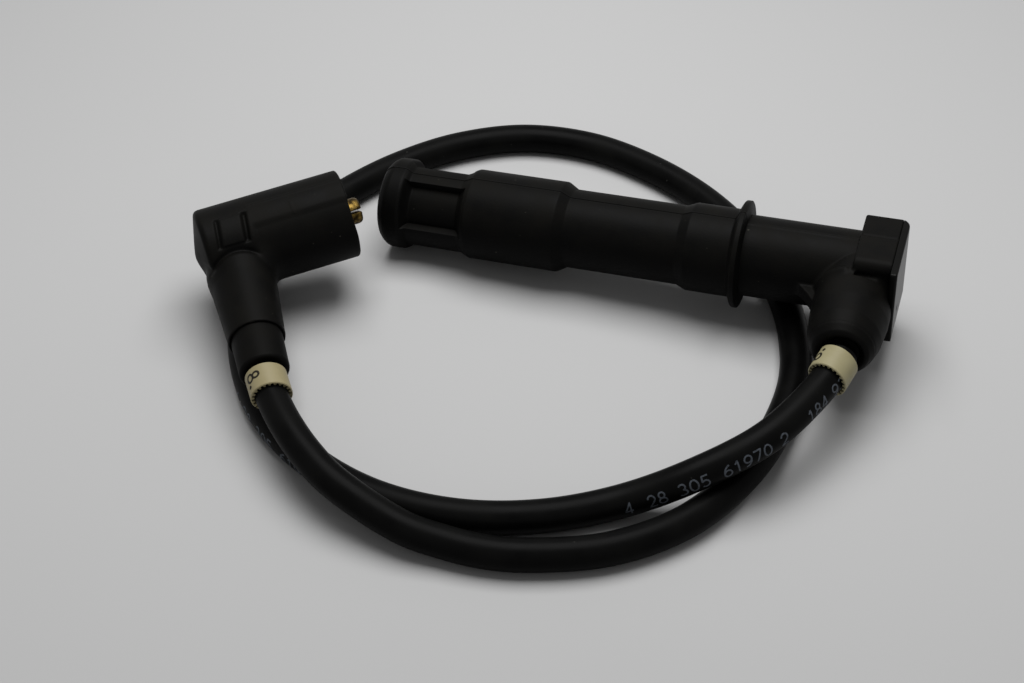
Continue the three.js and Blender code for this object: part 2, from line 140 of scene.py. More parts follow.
def loft_faces(rings: int, sides: int, closed: bool, first: int = 0) -> list:
    """Faces between rings of vertices.

    Args:
        rings: how many rings there are.
        sides: vertices in each ring.
        closed: whether the last ring joins the first; else both ends get a cap.
        first: number of the first vertex.

    Returns:
        Vertex numbers of each face.
    """
    index = first + np.arange(rings * sides).reshape(rings, sides)
    low = index if closed else index[:-1]
    high = np.roll(index, -1, axis=0) if closed else index[1:]
    quads = np.stack((low, np.roll(low, -1, 1), np.roll(high, -1, 1), high), axis=-1)
    faces = quads.reshape(-1, 4).tolist()
    if not closed:
        faces += [index[0][::-1].tolist(), index[-1].tolist()]
    return faces


def spun_rings(profile: np.ndarray, sides: int) -> np.ndarray:
    """Rings of a solid turned about X.

    Args:
        profile: points (x, radius).
        sides: vertices in each ring.

    Returns:
        An array of rings, sides and coordinates.
    """
    turn = np.arange(sides) * 2 * math.pi / sides
    x = np.repeat(profile[:, :1], sides, axis=1)
    return np.stack((x, profile[:, 1:] * np.cos(turn), profile[:, 1:] * np.sin(turn)), axis=-1)


def bent(start: object, corner: object, end: object, share: object) -> object:
    """Places on the curve that leaves the start for the corner and turns there to the end.

    Args:
        start: where it starts.
        corner: what it heads for.
        end: where it ends.
        share: how far along each place is, 0 to 1.

    Returns:
        The places.
    """
    return (1 - share) ** 2 * start + 2 * share * (1 - share) * corner + share * share * end


def eased(points: list, radius: float, cuts: int = 4) -> np.ndarray:
    """Rounds the corners of an open line.

    Args:
        points: the line's corners.
        radius: how far from a corner its rounding starts, at most.
        cuts: stretches in each rounding.

    Returns:
        The rounded line.
    """
    line = [np.array(p, float) for p in points]
    out = [line[0]]
    for before, corner, after in zip(line, line[1:], line[2:]):
        ends = []
        for other in (before, after):
            way = other - corner
            reach = np.linalg.norm(way)
            ends.append(corner + way * min(radius, 0.45 * reach) / reach)
        out += [bent(ends[0], corner, ends[1], share) for share in np.linspace(0, 1, cuts + 1)]
    out.append(line[-1])
    return np.array(out)


def smooth_step(value: np.ndarray) -> np.ndarray:
    """Eases 0 to 1 with level ends."""
    v = np.clip(value, 0.0, 1.0)
    return v * v * (3 - 2 * v)


def hump(offset: np.ndarray, width: float) -> np.ndarray:
    """A soft ridge of height 1, centred where the offset is 0."""
    return np.exp(-((offset / width) ** 2))


# Distance fields: negative inside, positive outside, in millimetres


def rounded_box(p: np.ndarray, low: tuple, high: tuple, radius: float) -> np.ndarray:
    """Distance to a box with rounded edges.

    Args:
        p: points, with coordinates on the last axis.
        low: the box's lowest corner.
        high: its highest corner.
        radius: radius of its edges.

    Returns:
        The distance at each point.
    """
    middle = (np.array(low) + np.array(high)) / 2
    half = (np.array(high) - np.array(low)) / 2 - radius
    q = np.abs(p - middle) - half
    outside = np.linalg.norm(np.maximum(q, 0), axis=-1)
    return outside + np.minimum(q.max(axis=-1), 0) - radius


def joined(a: np.ndarray, b: np.ndarray, fillet: float) -> np.ndarray:
    """Joins two fields with a fillet of about that size between them."""
    h = np.maximum(fillet - np.abs(a - b), 0) / fillet
    return np.minimum(a, b) - h * h * fillet / 4


def cut(a: np.ndarray, b: np.ndarray, edge: float) -> np.ndarray:
    """Takes field b out of field a and eases the edge that this leaves."""
    return -joined(-a, b, edge)


def turned_field(along: np.ndarray, radial: np.ndarray, profile: list, edge: float) -> np.ndarray:
    """Distance to a turned solid.

    Args:
        along: place along its axis.
        radial: distance from its axis.
        profile: points (place, radius), in order.
        edge: radius of its end edges.

    Returns:
        The distance at each point.
    """
    places, radii = np.array(profile, float).T
    middle, half = (places[0] + places[-1]) / 2, (places[-1] - places[0]) / 2
    side = radial - np.interp(along, places, radii) + edge
    end = np.abs(along - middle) - half + edge
    outside = np.hypot(np.maximum(side, 0), np.maximum(end, 0))
    return outside + np.minimum(np.maximum(side, end), 0) - edge


@dataclass(frozen=True)
class FieldBody:
    """A body given by a distance field, meshed on a grid and drawn onto the field's zero surface."""

    low: tuple[float, float, float]
    high: tuple[float, float, float]
    step: float
    distance: Callable[[np.ndarray], np.ndarray]

    def grid(self) -> np.ndarray:
        """The field at the grid's corners."""
        counts = [int(math.ceil((h - l) / self.step)) + 1 for l, h in zip(self.low, self.high)]
        lines = [l + self.step * np.arange(n) for l, n in zip(self.low, counts)]
        return self.distance(np.stack(np.meshgrid(*lines, indexing="ij"), axis=-1))

    def mesh(self) -> tuple[np.ndarray, list]:
        """Meshes the body: one vertex in each cell that the surface crosses, one quad for each crossed edge.

        Returns:
            The vertices, in millimetres, and the faces.
        """
        value = self.grid()
        cells = tuple(n - 1 for n in value.shape)
        total, count = np.zeros(cells + (3,)), np.zeros(cells)
        crossings = []
        for axis in range(3):
            start = [slice(None)] * 3
            stop = [slice(None)] * 3
            start[axis], stop[axis] = slice(0, -1), slice(1, None)
            a, b = value[tuple(start)], value[tuple(stop)]
            crossed = (a < 0) != (b < 0)
            share = np.where(crossed, a / np.where(crossed, a - b, 1.0), 0.0)
            others = [k for k in range(3) if k != axis]
            for shift in ((0, 0), (0, 1), (1, 0), (1, 1)):
                pick = [slice(None)] * 3
                for k, s in zip(others, shift):
                    pick[k] = slice(s, cells[k] + s)
                here = crossed[tuple(pick)]
                count += here
                total[..., axis] += share[tuple(pick)]
                for k, s in zip(others, shift):
                    total[..., k] += here * s
            crossings.append((crossed, others))
        used = count > 0
        number = np.full(cells, -1)
        number[used] = np.arange(used.sum())
        corner = np.argwhere(used)
        points = np.array(self.low) + self.step * (corner + total[used] / count[used][:, None])
        faces = []
        for axis, (crossed, others) in enumerate(crossings):
            edges = np.argwhere(crossed)
            inner = np.all([(edges[:, k] > 0) & (edges[:, k] < cells[k]) for k in others], axis=0)
            edges = edges[inner]
            around = []
            for shift in ((1, 1), (0, 1), (0, 0), (1, 0)):
                at = edges.copy()
                for k, s in zip(others, shift):
                    at[:, k] -= s
                around.append(number[tuple(at.T)])
            faces += np.stack(around, axis=-1).tolist()
        return self.drawn_in(points), faces

    def drawn_in(self, points: np.ndarray) -> np.ndarray:
        """Moves vertices along the field's slope onto its zero surface.

        Args:
            points: the vertices, in millimetres.

        Returns:
            The moved vertices.
        """
        small = 0.05
        for _ in range(3):
            value = self.distance(points)
            ahead = np.stack([self.distance(points + small * e) for e in np.eye(3)], axis=-1)
            behind = np.stack([self.distance(points - small * e) for e in np.eye(3)], axis=-1)
            slope = (ahead - behind) / (2 * small)
            square = np.maximum((slope**2).sum(-1), 0.25)
            move = -(value / square)[:, None] * slope
            reach = np.linalg.norm(move, axis=-1, keepdims=True)
            points = points + move * np.minimum(1.0, 0.4 * self.step / np.maximum(reach, 1e-9))
        return points


# Finishes


def linear(sheet_colour: str) -> tuple[float, float, float, float]:
    """Turns an sRGB hex colour such as #1c1c1d to linear RGBA."""
    parts = [int(sheet_colour[i : i + 2], 16) / 255 for i in (1, 3, 5)]
    return tuple(c / 12.92 if c <= 0.04045 else ((c + 0.055) / 1.055) ** 2.4 for c in parts) + (1.0,)


def add_node(tree: Tree, kind: str, settings: dict | None = None, links: dict | None = None) -> Node:
    """Adds a shader node with its settings and links.

    Args:
        tree: the material's or world's node tree.
        kind: the node's type name.
        settings: values by property name, or by input name or number.
        links: output sockets by input name or number.

    Returns:
        The new node.
    """
    made = tree.nodes.new(kind)
    for key, value in (settings or {}).items():
        if isinstance(key, str) and hasattr(made, key):
            setattr(made, key, value)
        else:
            made.inputs[key].default_value = value
    for key, socket in (links or {}).items():
        tree.links.new(socket, made.inputs[key])
    return made


def per_metre(size_mm: float) -> float:
    """The scale of a pattern in object coordinates whose features are that many millimetres apart."""
    return 1.0 / (size_mm * MM)


@dataclass(frozen=True)
class Finish:
    """What every finish has: a name, a colour and how its surface scatters light."""

    name: str
    colour: str
    roughness: float
    ior: float = 1.5
    specular: float = 0.5

    def material(self) -> bpy.types.Material:
        """The finish as a Blender material, made on first use."""
        made = bpy.data.materials.get(self.name)
        if made is None:
            made = bpy.data.materials.new(self.name)
            made.use_nodes = True
            tree = made.node_tree
            shader = tree.nodes["Principled BSDF"]
            shader.inputs["Base Color"].default_value = linear(self.colour)
            shader.inputs["Roughness"].default_value = self.roughness
            shader.inputs["IOR"].default_value = self.ior
            shader.inputs["Specular IOR Level"].default_value = self.specular
            self.pattern(tree, shader)
        return made

    def pattern(self, tree: Tree, shader: Node) -> None:
        """Adds the finish's own colour variation and relief."""

    def noise(self, tree: Tree, size_mm: float, detail: float = 3.0) -> Socket:
        """Adds a soft noise in object coordinates.

        Args:
            tree: the material's node tree.
            size_mm: distance between its patches.
            detail: how many finer layers it has.

        Returns:
            Its value, 0 to 1.
        """
        place = add_node(tree, "ShaderNodeTexCoord")
        settings = {"Scale": per_metre(size_mm), "Detail": detail, "Roughness": 0.55}
        return add_node(tree, "ShaderNodeTexNoise", settings, {"Vector": place.outputs["Object"]}).outputs[0]

    def ranged(self, tree: Tree, value: Socket, source: tuple, target: tuple) -> Socket:
        """Maps a value's range to another.

        Args:
            tree: the material's node tree.
            value: the socket to map.
            source: its low and high value.
            target: what those become.

        Returns:
            The mapped value.
        """
        settings = {"From Min": source[0], "From Max": source[1], "To Min": target[0], "To Max": target[1]}
        return add_node(tree, "ShaderNodeMapRange", settings, {"Value": value}).outputs[0]

    def blend(self, tree: Tree, amount: Socket, low: str | Socket, high: str | Socket) -> Socket:
        """Mixes two colours.

        Args:
            tree: the material's node tree.
            amount: 0 for the first colour, 1 for the second.
            low: the first colour, a hex string or a socket.
            high: the second colour, a hex string or a socket.

        Returns:
            The mixed colour.
        """
        mixer = add_node(tree, "ShaderNodeMix", {"data_type": "RGBA"})
        tree.links.new(amount, mixer.inputs[0])
        for number, colour in ((6, low), (7, high)):
            if isinstance(colour, str):
                mixer.inputs[number].default_value = linear(colour)
            else:
                tree.links.new(colour, mixer.inputs[number])
        return mixer.outputs[2]

    def relief(self, tree: Tree, shader: Node, height: Socket, depth_mm: float) -> None:
        """Adds a bump of that depth, in millimetres, to the shader."""
        settings = {"Strength": 1.0, "Distance": depth_mm * MM}
        bump = add_node(tree, "ShaderNodeBump", settings, {"Height": height})
        tree.links.new(bump.outputs[0], shader.inputs["Normal"])


@dataclass(frozen=True)
class MouldedRubber(Finish):
    """EPDM rubber, compression moulded: near black and satin, with release bloom, dust in soft patches, and
    upward faces painted lighter as painted top light.
    """

    # dust colour, mixed in most on upward faces: partly settled dust, partly a painted highlight on the top
    # faces
    dust_and_top_light: str = "#2f2c24"
    dust_and_top_light_share: float = 0.13
    patch_mm: float = 7.0
    speck: str = "#4a4841"
    speck_mm: float = 1.1
    grain_mm: float = 0.55  # the mould's eroded grain is near 0.1 mm, drawn coarser so that it shows
    grain_depth_mm: float = 0.02

    def pattern(self, tree: Tree, shader: Node) -> None:
        """Dust settles on what faces up, in patches, and stray specks of it stand out; the same upward mix
        also paints the top faces lighter as painted top light.
        """
        facing = add_node(tree, "ShaderNodeNewGeometry").outputs["Normal"]
        up = add_node(tree, "ShaderNodeSeparateXYZ", links={0: facing}).outputs["Z"]
        # faces pointing up get more of the dust colour: painted top light as well as settled dust
        top = self.ranged(tree, up, (-0.1, 1.0), (0.12, 1.0))
        patches = self.ranged(tree, self.noise(tree, self.patch_mm, 4.0), (0.35, 0.72), (0.15, 1.0))
        times = {"operation": "MULTIPLY"}
        amount = add_node(tree, "ShaderNodeMath", times, {0: top, 1: patches}).outputs[0]
        share = add_node(tree, "ShaderNodeMath", {**times, 1: self.dust_and_top_light_share}, {0: amount}).outputs[0]
        dusty_and_top_lit = self.blend(tree, share, self.colour, self.dust_and_top_light)
        specks = self.ranged(tree, self.noise(tree, self.speck_mm, 1.0), (0.785, 0.82), (0.0, 0.5))
        tree.links.new(self.blend(tree, specks, dusty_and_top_lit, self.speck), shader.inputs["Base Color"])
        rough = self.ranged(tree, patches, (0.0, 1.0), (self.roughness - 0.06, self.roughness + 0.1))
        tree.links.new(rough, shader.inputs["Roughness"])
        self.relief(tree, shader, self.noise(tree, self.grain_mm, 2.0), self.grain_depth_mm)


@dataclass(frozen=True)
class ExtrudedRubber(Finish):
    """EPDM jacket, extruded: black, smoother than a moulding, with faint rubbed patches along its length."""

    rubbed: str = "#131312"
    patch_mm: float = 14.0
    speck: str = "#474743"
    speck_mm: float = 0.9
    grain_mm: float = 0.6  # the die's grain is finer, drawn coarser so that it shows
    grain_depth_mm: float = 0.012

    def pattern(self, tree: Tree, shader: Node) -> None:
        """Handling leaves soft lighter patches, and the die a fine grain."""
        patches = self.ranged(tree, self.noise(tree, self.patch_mm, 4.0), (0.4, 0.7), (0.0, 0.6))
        worn = self.blend(tree, patches, self.colour, self.rubbed)
        specks = self.ranged(tree, self.noise(tree, self.speck_mm, 1.0), (0.79, 0.82), (0.0, 0.45))
        tree.links.new(self.blend(tree, specks, worn, self.speck), shader.inputs["Base Color"])
        rough = self.ranged(tree, patches, (0.0, 0.6), (self.roughness - 0.05, self.roughness + 0.08))
        tree.links.new(rough, shader.inputs["Roughness"])
        self.relief(tree, shader, self.noise(tree, self.grain_mm, 2.0), self.grain_depth_mm)


@dataclass(frozen=True)
class MouldedPlastic(Finish):
    """Injection moulded thermoplastic: even in colour, with a slight mottle and a fine, shallow texture."""

    mottle: str = "#d8cda4"
    mottle_share: float = 0.35
    patch_mm: float = 2.5
    texture_mm: float = 0.4
    texture_depth_mm: float = 0.01

    def pattern(self, tree: Tree, shader: Node) -> None:
        """The mottle is handling and flow marks; the texture breaks the gloss."""
        amount = self.ranged(tree, self.noise(tree, self.patch_mm), (0.35, 0.75), (0.0, self.mottle_share))
        tree.links.new(self.blend(tree, amount, self.colour, self.mottle), shader.inputs["Base Color"])
        self.relief(tree, shader, self.noise(tree, self.texture_mm, 2.0), self.texture_depth_mm)


@dataclass(frozen=True)
class PrintedInk(Finish):
    """Marking ink, wheel printed on rubber: matt and thin, so the black shows through where it is starved."""

    starved: str = "#2c3034"
    patch_mm: float = 0.45

    def pattern(self, tree: Tree, shader: Node) -> None:
        """The starved spots are as small as the strokes are wide."""
        amount = self.ranged(tree, self.noise(tree, self.patch_mm, 2.0), (0.5, 0.72), (0.0, 0.8))
        tree.links.new(self.blend(tree, amount, self.colour, self.starved), shader.inputs["Base Color"])


@dataclass(frozen=True)
class TurnedMetal(Finish):
    """A metal turned or drawn: bright, with fine tool marks and a little tarnish."""

    tarnish: str = "#7d6230"
    tarnish_share: float = 0.35
    patch_mm: float = 1.2
    mark_mm: float = 0.25
    mark_depth_mm: float = 0.008

    def pattern(self, tree: Tree, shader: Node) -> None:
        """Tarnish gathers in patches, and the tool marks blur the reflections."""
        shader.inputs["Metallic"].default_value = 1.0
        amount = self.ranged(tree, self.noise(tree, self.patch_mm), (0.38, 0.62), (0.0, self.tarnish_share))
        tree.links.new(self.blend(tree, amount, self.colour, self.tarnish), shader.inputs["Base Color"])
        rough = self.ranged(tree, amount, (0.0, 1.0), (self.roughness, self.roughness + 0.25))
        tree.links.new(rough, shader.inputs["Roughness"])
        self.relief(tree, shader, self.noise(tree, self.mark_mm, 2.0), self.mark_depth_mm)


@dataclass(frozen=True)
class StudioFloor(Finish):
    """Seamless background paper: plain, pale and matt, with hardly any fibre."""

    shade: str = "#bcbcbc"
    patch_mm: float = 260.0

    def pattern(self, tree: Tree, shader: Node) -> None:
        """A broad, faint unevenness keeps the paper from looking drawn."""
        amount = self.ranged(tree, self.noise(tree, self.patch_mm, 1.0), (0.3, 0.7), (0.0, 1.0))
        tree.links.new(self.blend(tree, amount, self.colour, self.shade), shader.inputs["Base Color"])


BOOT_RUBBER = MouldedRubber("moulded_epdm_rubber", "#080808", 0.48, 1.5, 0.04)
SLEEVE_RUBBER = MouldedRubber("moulded_epdm_sleeve", "#090909", 0.5, 1.5, 0.035, dust_and_top_light_share=0.1)
JACKET_RUBBER = ExtrudedRubber("extruded_epdm_jacket", "#070707", 0.4, 1.5, 0.035)
COVER_PLASTIC = MouldedPlastic("moulded_abs_cover", "#080807", 0.3, 1.5, 0.08, mottle="#100f0c")
RING_PVC = MouldedPlastic("moulded_pvc_ring_cream", "#968c6b", 0.45, 1.5, 0.25, mottle="#857b58")
RING_PVC_AGED = MouldedPlastic("moulded_pvc_ring_aged", "#979070", 0.45, 1.5, 0.25, mottle="#857c59")
NYLON_MOULDING = MouldedPlastic("moulded_nylon_natural", "#b9b4a6", 0.45, 1.53, 0.5, mottle="#a39d8b")
LEGEND_INK = PrintedInk("wheel_printed_ink_grey", "#50555c", 0.6, 1.5, 0.15, starved="#24272a")
FIGURE_INK = PrintedInk("wheel_printed_ink_dark", "#15120c", 0.6, 1.5, 0.2, starved="#2c2616")
BRASS = TurnedMetal("turned_brass", "#6f5a2c", 0.36, tarnish="#241c10", tarnish_share=0.95)
SPRING_STEEL = TurnedMetal("drawn_spring_steel", "#a6a8aa", 0.3, tarnish="#6c6a66")
GLAZED_CERAMIC = MouldedPlastic("glazed_alumina_ceramic", "#d8d2c2", 0.25, 1.6, 0.5, mottle="#c9c1ab")
PAPER = StudioFloor("seamless_paper", "#c0c0c0", 0.9, 1.5, 0.1)

NODE_FINISH = {
    Slot.RUBBER: BOOT_RUBBER,
    Slot.JACKET: JACKET_RUBBER,
    Slot.COVER: COVER_PLASTIC,
    Slot.CREAM: RING_PVC,
    Slot.NYLON: NYLON_MOULDING,
    Slot.BRASS: BRASS,
    Slot.STEEL: SPRING_STEEL,
    Slot.CERAMIC: GLAZED_CERAMIC,
}


def dress(piece: Piece, finish: Finish, slot: Slot, *nodes: str) -> Piece:
    """Gives a piece its finish and body, and hides the CAD nodes that it stands for.

    Args:
        piece: the mesh object.
        finish: what it is made of.
        slot: the record's slot for that; not used.
        nodes: the CAD nodes that it replaces.

    Returns:
        The piece.
    """
    piece.data.materials.append(finish.material())
    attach(piece, BODY)
    if nodes:
        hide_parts(*nodes)
    log.info("%s: %d faces, %s", piece.name, len(piece.data.polygons), finish.name)
    return piece


# Plain figures for the print


def arc(cx: float, cy: float, rx: float, ry: float, start: float, stop: float) -> list:
    """Points of an elliptical arc, its angles in degrees."""
    count = max(4, int(abs(stop - start) / 24))
    turn = np.radians(np.linspace(start, stop, count + 1))
    return [(cx + rx * math.cos(a), cy + ry * math.sin(a)) for a in turn]


FIGURES = {
    "0": [arc(0.31, 0.5, 0.29, 0.5, 90, 450)],
    "1": [[(0.12, 0.78), (0.34, 1.0), (0.34, 0.0)]],
    "2": [arc(0.3, 0.71, 0.27, 0.29, 170, -40) + [(0.03, 0.0), (0.6, 0.0)]],
    "3": [arc(0.28, 0.76, 0.24, 0.24, 150, -80), arc(0.28, 0.27, 0.3, 0.27, 80, -150)],
    "4": [[(0.46, 0.0), (0.46, 1.0), (0.0, 0.3), (0.64, 0.3)]],
    "5": [[(0.55, 1.0), (0.12, 1.0), (0.07, 0.56)] + arc(0.29, 0.31, 0.29, 0.31, 130, -145)],
    "6": [arc(0.31, 0.3, 0.28, 0.3, 90, 450), arc(0.62, 0.36, 0.59, 0.62, 180, 100)],
    "7": [[(0.02, 1.0), (0.6, 1.0), (0.2, 0.0)]],
    "8": [arc(0.31, 0.76, 0.22, 0.24, 90, 450), arc(0.31, 0.26, 0.29, 0.26, 90, 450)],
    "9": [arc(0.31, 0.7, 0.28, 0.3, 90, 450), arc(0.0, 0.64, 0.59, 0.62, 0, -80)],
    ".": [arc(0.1, 0.07, 0.05, 0.05, 0, 360)],
}


@dataclass(frozen=True)
class PrintLine:
    """Plain figures printed along a round surface, as thin raised strokes."""

    height: float
    stroke: float
    lift: float = 0.03
    root: float = 0.08

    def ribbons(self, text: str, start: float, pitch: float) -> list:
        """Lays the figures' centrelines out.

        Args:
            text: the figures.
            start: place of the first one along the surface.
            pitch: distance from one figure to the next.

        Returns:
            Arrays of (along, around) points, in millimetres.
        """
        lines = []
        for number, figure in enumerate(text):
            for line in FIGURES.get(figure, []):
                flat = np.array(line) * self.height
                run = np.r_[0.0, np.cumsum(np.linalg.norm(np.diff(flat, axis=0), axis=1))]
                even = np.linspace(0.0, run[-1], max(3, int(run[-1] / 0.3)))
                place = np.unique(np.round(np.r_[run, even], 4))
                fine = np.stack([np.interp(place, run, flat[:, k]) for k in range(2)], axis=1)
                lines.append(fine + (start + number * pitch, -0.5 * self.height))
        return lines

    def mesh(self, lines: list, surface: Surface) -> tuple[np.ndarray, list]:
        """Makes closed strokes that stand a little proud of the surface.

        Args:
            lines: the figures' centrelines.
            surface: gives the place of (along, around) at a height above the surface.

        Returns:
            The vertices, in metres, and the faces.
        """
        points, faces, count = [], [], 0
        for line in lines:
            way = np.gradient(line, axis=0)
            way /= np.linalg.norm(way, axis=1, keepdims=True)
            aside = np.stack((-way[:, 1], way[:, 0]), axis=1) * self.stroke / 2
            left, right = line + aside, line - aside
            corners = [(left, -self.root), (left, self.lift), (right, self.lift), (right, -self.root)]
            ring = np.stack([surface(edge[:, 0], edge[:, 1], high) for edge, high in corners], axis=1)
            points.append(ring.reshape(-1, 3))
            faces += loft_faces(len(line), 4, closed=False, first=count)
            count += len(line) * 4
        return np.concatenate(points), faces


# Sub-assemblies


@dataclass
class Lead:
    """The 7 mm lead: a free cord in one and a half loose turns, printed on its outer side."""

    radius: float = 3.5
    sides: int = 36
    steps: int = 520
    # the same points as in the part's source, whose origin lies here
    shift: tuple[float, float, float] = (3.354, -0.869, 0.13)
    route: tuple = (
        (-42.3, -38.6, 12.5),
        (-40.5, -41.4, 12.2),
        (-38.0, -44.5, 11.8),
        (-32.1, -50.7, 11.3),
        (-25.6, -55.9, 10.3),
        (-18.3, -60.1, 9.0),
        (-2.5, -64.3, 5.6),
        (5.8, -64.4, 4.3),
        (14.3, -64.0, 3.8),
        (22.6, -62.3, 3.7),
        (38.0, -55.6, 3.6),
        (50.5, -44.3, 3.6),
        (58.5, -29.5, 3.6),
        (62.7, -13.1, 3.6),
        (63.4, 3.7, 3.6),
        (59.5, 20.2, 3.6),
        (52.2, 35.4, 3.6),
        (42.0, 48.8, 3.6),
        (29.1, 59.8, 3.6),
        (14.2, 67.5, 3.6),
        (-2.2, 71.6, 3.6),
        (-18.9, 69.8, 3.6),
        (-33.6, 61.6, 3.6),
        (-45.2, 49.4, 3.6),
        (-54.0, 35.0, 3.6),
        (-60.3, 19.3, 3.6),
        (-62.2, 2.5, 3.6),
        (-58.9, -14.0, 3.6),
        (-51.8, -29.3, 3.6),
        (-41.1, -42.4, 3.6),
        (-27.0, -51.6, 3.6),
        (-11.0, -56.6, 3.6),
        (5.9, -56.5, 3.6),
        (22.1, -51.7, 3.7),
        (36.8, -43.4, 4.3),
        (50.9, -36.0, 9.7),
        (62.7, -25.0, 13.4),
        (70.3, -10.2, 15.9),
        (72.2, -4.1, 16.7),
        (72.8, -0.9, 17.1),
    )
    legend: tuple = (
        (0.0, "4"),
        (5.1, "28"),
        (11.5, "305"),
        (20.6, "61970"),
        (33.4, "2"),
        (41.0, "184"),
        (49.2, "936"),
    )
    legend_pitch: float = 2.2
    legend_print: PrintLine = PrintLine(height=2.7, stroke=0.34)
    # each legend's start and its angle above level; the print creeps round the lead
    legend_places: tuple = ((308.5, 15.0), (403.5, -6.0), (498.5, 15.0))
    line: np.ndarray = field(init=False)
    run: np.ndarray = field(init=False)

    def __post_init__(self) -> None:
        """Works out the centreline and the distance run along it."""
        self.line = self.centreline()
        self.run = np.r_[0.0, np.cumsum(np.linalg.norm(np.diff(self.line, axis=0), axis=1))]

    def centreline(self, cuts: int = 40) -> np.ndarray:
        """One smooth curve through the route's points, in millimetres in the row frame.

        Args:
            cuts: points in each stretch.

        Returns:
            The curve's points.
        """
        knots = np.array(self.route) - self.shift
        knots = np.vstack((2 * knots[0] - knots[1], knots, 2 * knots[-1] - knots[-2]))
        out = []
        for p0, p1, p2, p3 in zip(knots, knots[1:], knots[2:], knots[3:]):
            d0, d1, d2 = (np.linalg.norm(b - a) ** 0.5 for a, b in ((p0, p1), (p1, p2), (p2, p3)))
            leave = ((p1 - p0) / d0 - (p2 - p0) / (d0 + d1) + (p2 - p1) / d1) * d1
            arrive = ((p2 - p1) / d1 - (p3 - p1) / (d1 + d2) + (p3 - p2) / d2) * d1
            for w in np.arange(cuts) / cuts:
                cubic = (2 * p1 - 2 * p2 + leave + arrive) * w**3
                out.append(p1 + leave * w + (-3 * p1 + 3 * p2 - 2 * leave - arrive) * w * w + cubic)
        out.append(knots[-2])
        return np.array(out)

    def length(self) -> float:
        """The lead's free length, in millimetres."""
        return float(self.run[-1])

    def at(self, place: np.ndarray) -> tuple[np.ndarray, np.ndarray, np.ndarray]:
        """The lead's centre and directions at places along it.

        Args:
            place: distances from the coil end, in millimetres.

        Returns:
            The centres, the level directions to the outer side and the directions up.
        """
        centre = np.stack([np.interp(place, self.run, self.line[:, k]) for k in range(3)], axis=-1)
        ahead = np.stack([np.interp(place + 0.6, self.run, self.line[:, k]) for k in range(3)], axis=-1)
        behind = np.stack([np.interp(place - 0.6, self.run, self.line[:, k]) for k in range(3)], axis=-1)
        way = ahead - behind
        way /= np.linalg.norm(way, axis=-1, keepdims=True)
        outward = np.cross(way, (0.0, 0.0, 1.0))
        outward /= np.linalg.norm(outward, axis=-1, keepdims=True)
        return centre, outward, np.cross(outward, way)

    def surface(self, place: np.ndarray, angle: np.ndarray, radius: float) -> np.ndarray:
        """Points around the lead.

        Args:
            place: distances from the coil end, in millimetres.
            angle: angles from the outer side upward.
            radius: distance from the centreline.

        Returns:
            The points, in metres in the row frame.
        """
        centre, outward, up = self.at(place)
        reach = np.cos(angle)[..., None] * outward + np.sin(angle)[..., None] * up
        return (centre + radius * reach) * MM

    def legends(self) -> list[Piece]:
        """The printed figures, repeated along the lead."""
        made = []
        for number, (start, angle_deg) in enumerate(self.legend_places):
            middle = math.radians(angle_deg)

            def on_jacket(along: np.ndarray, around: np.ndarray, lift: float) -> np.ndarray:
                """A place of the print on the jacket."""
                return self.surface(along, middle + around / self.radius, self.radius + lift)

            lines = []
            for place, text in self.legend:
                lines += self.legend_print.ribbons(text, start + place, self.legend_pitch)
            points, faces = self.legend_print.mesh(lines, on_jacket)
            piece = mesh_object(f"lead_legend_{number + 1}", points, faces)
            made.append(dress(piece, LEGEND_INK, Slot.JACKET))
        return made

    def build(self, rings: list[Piece]) -> None:
        """Args:
            rings: the marker rings on the lead; not used.
        """
        place = np.linspace(0.0, self.length(), self.steps + 1)
        turn = np.arange(self.sides) * 2 * math.pi / self.sides
        rows = self.surface(*np.meshgrid(place, turn, indexing="ij"), self.radius)
        faces = loft_faces(len(place), self.sides, closed=False)
        jacket = dress(mesh_object("lead_jacket", rows, faces), JACKET_RUBBER, Slot.JACKET, "lead_cable")
        self.length() * MM
        rings + self.legends()


